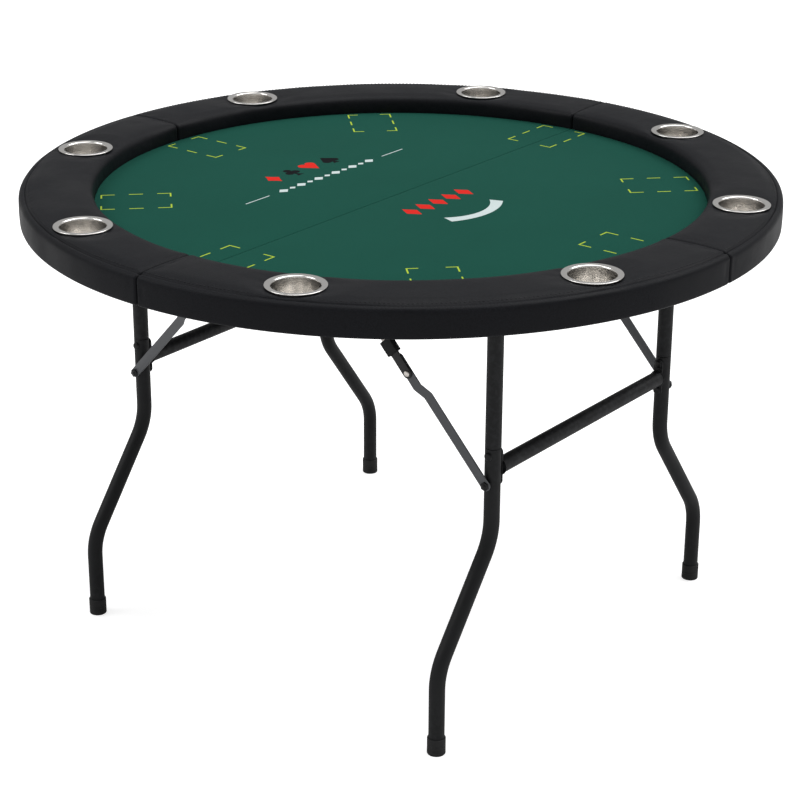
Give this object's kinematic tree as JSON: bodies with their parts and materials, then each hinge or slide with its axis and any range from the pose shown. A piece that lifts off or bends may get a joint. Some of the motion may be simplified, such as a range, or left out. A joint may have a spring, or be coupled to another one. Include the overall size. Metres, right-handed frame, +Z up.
{
  "type": "folding poker table",
  "caption": "Round card table with a padded rail, cup holders set in the rail, a green playing cloth and folding tubular leg frames with locking braces.",
  "frame": {"origin": "on the floor under the centre of the round top", "axes": "+Z up; the Y axis lies under the centre seam of the top, with the front at -Y; +X runs towards the right leg frame"},
  "size_m": [1.2192, 1.2192, 0.76],
  "materials": {
    "leather": "satin",
    "cloth": "matte",
    "board": "matte",
    "core_wood": "matte",
    "cup_steel": "brushed",
    "frame_paint": "satin",
    "collar_black": "satin",
    "zinc": "satin",
    "fastener_steel": "satin",
    "foot_rubber": "matte"
  },
  "bodies": {
    "top": {"left_board": "board", "right_board": "board", "left_playing_surface": "cloth", "right_playing_surface": "cloth", "left_rail_core": "core_wood", "right_rail_core": "core_wood", "rail_pad_1": "leather", "rail_pad_2": "leather", "rail_pad_3": "leather", "rail_pad_4": "leather", "cup_holder_1": "cup_steel", "cup_holder_2": "cup_steel", "cup_holder_3": "cup_steel", "cup_holder_4": "cup_steel", "cup_holder_5": "cup_steel", "cup_holder_6": "cup_steel", "cup_holder_7": "cup_steel", "cup_holder_8": "cup_steel", "joining_plates": "zinc", "board_screws": "fastener_steel", "leg_brackets": "frame_paint", "leg_pivot_pins": "fastener_steel", "brace_anchors": "zinc", "anchor_pins": "fastener_steel"},
    "left_leg_frame": {"left_front_upper_tube": "frame_paint", "left_back_upper_tube": "frame_paint", "left_front_lower_leg": "frame_paint", "left_back_lower_leg": "frame_paint", "left_crossbar": "frame_paint", "left_feet": "foot_rubber", "left_frame_bolts": "frame_paint"},
    "right_leg_frame": {"right_front_upper_tube": "frame_paint", "right_back_upper_tube": "frame_paint", "right_front_lower_leg": "frame_paint", "right_back_lower_leg": "frame_paint", "right_crossbar": "frame_paint", "right_feet": "foot_rubber", "right_frame_bolts": "frame_paint"},
    "left_front_upper_brace": {"left_front_upper_link": "zinc", "left_front_knee_rivet": "fastener_steel"},
    "left_front_lower_brace": {"left_front_lower_link": "frame_paint", "left_front_brace_bolt": "frame_paint"},
    "left_front_lock_collar": {"left_front_lock_collar": "collar_black"},
    "left_back_upper_brace": {"left_back_upper_link": "zinc", "left_back_knee_rivet": "fastener_steel"},
    "left_back_lower_brace": {"left_back_lower_link": "frame_paint", "left_back_brace_bolt": "frame_paint"},
    "left_back_lock_collar": {"left_back_lock_collar": "collar_black"},
    "right_front_upper_brace": {"right_front_upper_link": "zinc", "right_front_knee_rivet": "fastener_steel"},
    "right_front_lower_brace": {"right_front_lower_link": "frame_paint", "right_front_brace_bolt": "frame_paint"},
    "right_front_lock_collar": {"right_front_lock_collar": "collar_black"},
    "right_back_upper_brace": {"right_back_upper_link": "zinc", "right_back_knee_rivet": "fastener_steel"},
    "right_back_lower_brace": {"right_back_lower_link": "frame_paint", "right_back_brace_bolt": "frame_paint"},
    "right_back_lock_collar": {"right_back_lock_collar": "collar_black"}
  },
  "joints": [
    {"name": "left_frame_fold", "type": "hinge", "parent": "top", "child": "left_leg_frame", "pos_m": [-0.363, 0, 0.69], "axis": [0, -1, 0], "range_deg": [0, 90]},
    {"name": "right_frame_fold", "type": "hinge", "parent": "top", "child": "right_leg_frame", "pos_m": [0.363, 0, 0.69], "axis": [0, 1, 0], "range_deg": [0, 85.5]},
    {"name": "left_front_anchor_hinge", "type": "hinge", "parent": "top", "child": "left_front_upper_brace", "pos_m": [-0.102, -0.2695, 0.69], "axis": [0, -1, 0], "range_deg": [-47.92, 0]},
    {"name": "left_front_knee_hinge", "type": "hinge", "parent": "left_front_upper_brace", "child": "left_front_lower_brace", "pos_m": [-0.22472, -0.2695, 0.55647], "axis": [0, -1, 0], "range_deg": [0, 180.5]},
    {"name": "left_front_collar_slide", "type": "slide", "parent": "left_front_upper_brace", "child": "left_front_lock_collar", "axis": [0.6767, 0, 0.7363], "range_m": [0, 0.04]},
    {"name": "left_back_anchor_hinge", "type": "hinge", "parent": "top", "child": "left_back_upper_brace", "pos_m": [-0.102, 0.2695, 0.69], "axis": [0, -1, 0], "range_deg": [-47.92, 0]},
    {"name": "left_back_knee_hinge", "type": "hinge", "parent": "left_back_upper_brace", "child": "left_back_lower_brace", "pos_m": [-0.22472, 0.2695, 0.55647], "axis": [0, -1, 0], "range_deg": [0, 180.5]},
    {"name": "left_back_collar_slide", "type": "slide", "parent": "left_back_upper_brace", "child": "left_back_lock_collar", "axis": [0.6767, 0, 0.7363], "range_m": [0, 0.04]},
    {"name": "right_front_anchor_hinge", "type": "hinge", "parent": "top", "child": "right_front_upper_brace", "pos_m": [0.102, -0.2695, 0.69], "axis": [0, 1, 0], "range_deg": [-46.94, 0]},
    {"name": "right_front_knee_hinge", "type": "hinge", "parent": "right_front_upper_brace", "child": "right_front_lower_brace", "pos_m": [0.22472, -0.2695, 0.55647], "axis": [0, 1, 0], "range_deg": [0, 174.13]},
    {"name": "right_front_collar_slide", "type": "slide", "parent": "right_front_upper_brace", "child": "right_front_lock_collar", "axis": [-0.6767, 0, 0.7363], "range_m": [0, 0.04]},
    {"name": "right_back_anchor_hinge", "type": "hinge", "parent": "top", "child": "right_back_upper_brace", "pos_m": [0.102, 0.2695, 0.69], "axis": [0, 1, 0], "range_deg": [-46.94, 0]},
    {"name": "right_back_knee_hinge", "type": "hinge", "parent": "right_back_upper_brace", "child": "right_back_lower_brace", "pos_m": [0.22472, 0.2695, 0.55647], "axis": [0, 1, 0], "range_deg": [0, 174.13]},
    {"name": "right_back_collar_slide", "type": "slide", "parent": "right_back_upper_brace", "child": "right_back_lock_collar", "axis": [-0.6767, 0, 0.7363], "range_m": [0, 0.04]}
  ],
  "couplings": [
    {"joint": "left_front_anchor_hinge", "follows": "left_frame_fold", "ratio": -0.52685},
    {"joint": "left_front_knee_hinge", "follows": "left_frame_fold", "ratio": 2},
    {"joint": "left_back_anchor_hinge", "follows": "left_frame_fold", "ratio": -0.52685},
    {"joint": "left_back_knee_hinge", "follows": "left_frame_fold", "ratio": 2},
    {"joint": "right_front_anchor_hinge", "follows": "right_frame_fold", "ratio": -0.54311},
    {"joint": "right_front_knee_hinge", "follows": "right_frame_fold", "ratio": 2.0308},
    {"joint": "right_back_anchor_hinge", "follows": "right_frame_fold", "ratio": -0.54311},
    {"joint": "right_back_knee_hinge", "follows": "right_frame_fold", "ratio": 2.0308}
  ]
}
